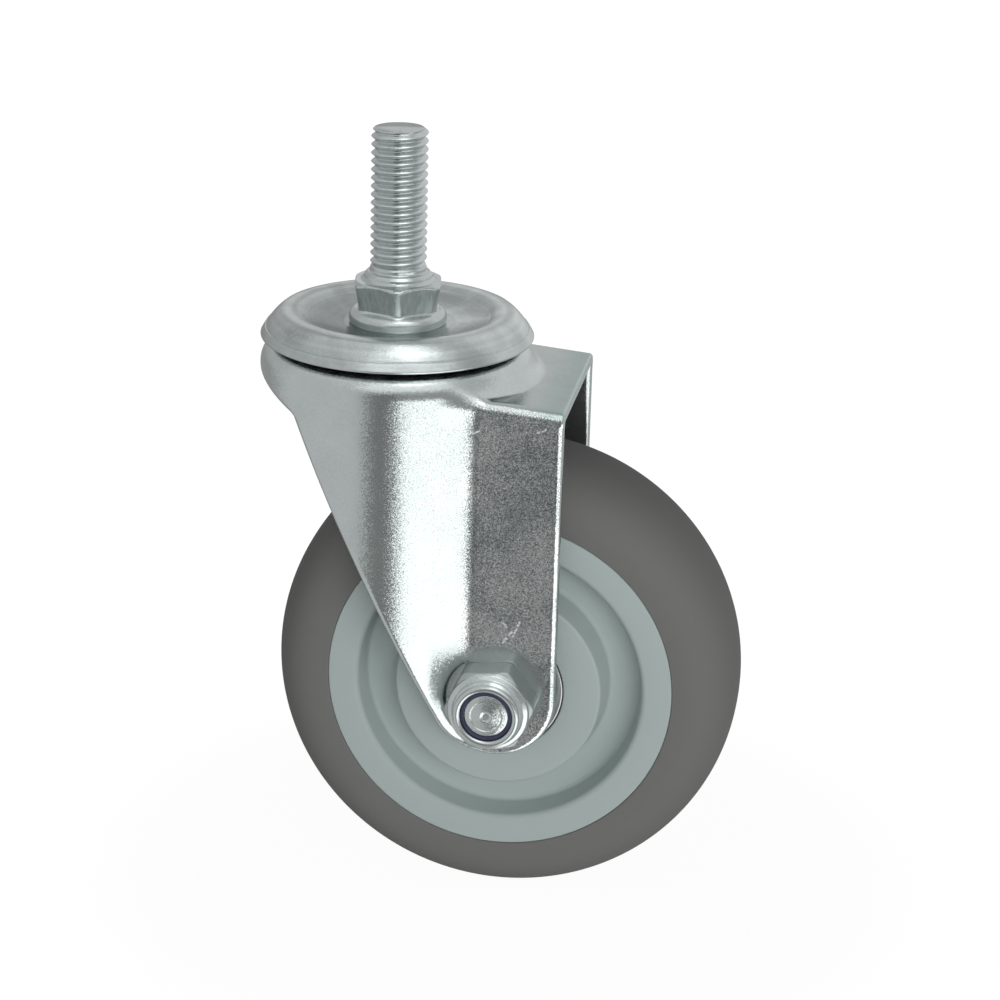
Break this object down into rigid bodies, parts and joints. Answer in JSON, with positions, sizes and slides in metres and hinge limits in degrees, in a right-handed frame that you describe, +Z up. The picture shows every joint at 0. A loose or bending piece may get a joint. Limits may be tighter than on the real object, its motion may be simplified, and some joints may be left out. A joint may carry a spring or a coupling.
{
  "type": "swivel castor",
  "caption": "Swivel castor with a threaded stem, ball-bearing head, pressed steel fork and rubber-tyred wheel.",
  "frame": {"origin": "on the stem's axis, at the foot of its threaded shank", "axes": "+Z up the stem, +X back towards the wheel's trail, Y along the axle with the locknut on -Y"},
  "size_m": [0.1045, 0.0617, 0.1652],
  "materials": {
    "zinc_steel": "bright zinc plating with fine grain",
    "bearing_steel": "ground and polished",
    "nylon": "smooth",
    "hub_plastic": "satin, as moulded",
    "tyre_rubber": "matt, as moulded",
    "seal_rubber": "matt"
  },
  "bodies": {
    "stem_and_plate": {"threaded_stem": "zinc_steel", "top_plate": "zinc_steel", "lower_race_cup": "zinc_steel"},
    "upper_ball_set": {"upper_balls": "bearing_steel"},
    "lower_ball_set": {"lower_balls": "bearing_steel"},
    "fork_assembly": {"fork": "zinc_steel", "axle_bolt": "zinc_steel", "axle_nut": "zinc_steel", "nut_insert": "nylon", "axle_sleeve": "zinc_steel", "bearing_spacer": "zinc_steel", "nut_side_spacer": "zinc_steel", "head_side_spacer": "zinc_steel", "nut_side_inner_ring": "bearing_steel", "head_side_inner_ring": "bearing_steel"},
    "bearing_ball_sets": {"nut_side_balls": "bearing_steel", "nut_side_cage": "zinc_steel", "head_side_balls": "bearing_steel", "head_side_cage": "zinc_steel"},
    "wheel": {"wheel_hub": "hub_plastic", "tyre": "tyre_rubber", "nut_side_outer_ring": "bearing_steel", "head_side_outer_ring": "bearing_steel", "nut_side_outer_seal": "seal_rubber", "nut_side_inner_seal": "seal_rubber", "head_side_outer_seal": "seal_rubber", "head_side_inner_seal": "seal_rubber"}
  },
  "joints": [
    {"name": "swivel", "type": "hinge", "parent": "stem_and_plate", "child": "fork_assembly", "pos_m": [0, 0, 0], "axis": [0, 0, 1], "continuous": true},
    {"name": "upper_balls_roll", "type": "hinge", "parent": "stem_and_plate", "child": "upper_ball_set", "pos_m": [0, 0, 0], "axis": [0, 0, 1], "continuous": true},
    {"name": "lower_balls_roll", "type": "hinge", "parent": "stem_and_plate", "child": "lower_ball_set", "pos_m": [0, 0, 0], "axis": [0, 0, 1], "continuous": true},
    {"name": "wheel_spin", "type": "hinge", "parent": "fork_assembly", "child": "wheel", "pos_m": [0.0258, 0, -0.087], "axis": [0, 1, 0], "continuous": true},
    {"name": "bearing_balls_roll", "type": "hinge", "parent": "fork_assembly", "child": "bearing_ball_sets", "pos_m": [0.0258, 0, -0.087], "axis": [0, 1, 0], "continuous": true}
  ],
  "couplings": [
    {"joint": "upper_balls_roll", "follows": "swivel", "ratio": 0.5},
    {"joint": "lower_balls_roll", "follows": "swivel", "ratio": 0.5},
    {"joint": "bearing_balls_roll", "follows": "wheel_spin", "ratio": 0.619}
  ]
}
